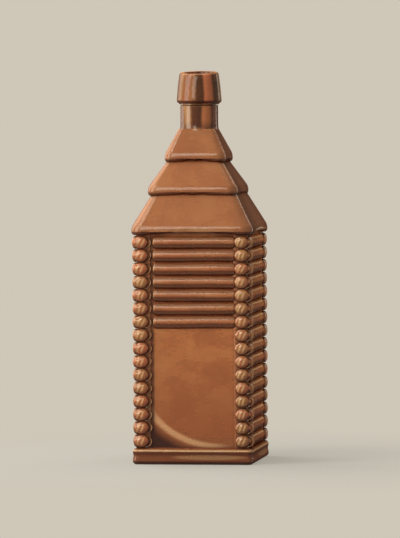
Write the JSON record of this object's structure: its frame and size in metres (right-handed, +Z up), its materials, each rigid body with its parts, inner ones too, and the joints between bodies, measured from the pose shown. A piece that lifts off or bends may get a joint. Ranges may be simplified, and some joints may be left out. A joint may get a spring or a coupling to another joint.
{
  "type": "log-cabin bottle",
  "caption": "Square moulded amber glass bottle shaped like a log cabin, with a stepped roof, round neck, tapered collar and cork.",
  "frame": {"origin": "middle of the base, on the surface that the bottle stands on", "axes": "+Z up along the bottle's axis, -Y out of the front with its label panel"},
  "size_m": [0.0786, 0.0786, 0.2501],
  "materials": {
    "amber_glass": "glossy, hand-blown, uneven",
    "collar_glass": "glossy, hand-tooled",
    "cork_bark": "matt, pitted"
  },
  "bodies": {
    "bottle": {"glass_body": "amber_glass", "lip_collar": "collar_glass"},
    "stopper": {"cork": "cork_bark"}
  },
  "joints": [
    {"name": "cork_pull", "type": "slide", "parent": "bottle", "child": "stopper", "axis": [0, 0, 1], "range_m": [0, 0.045]}
  ]
}
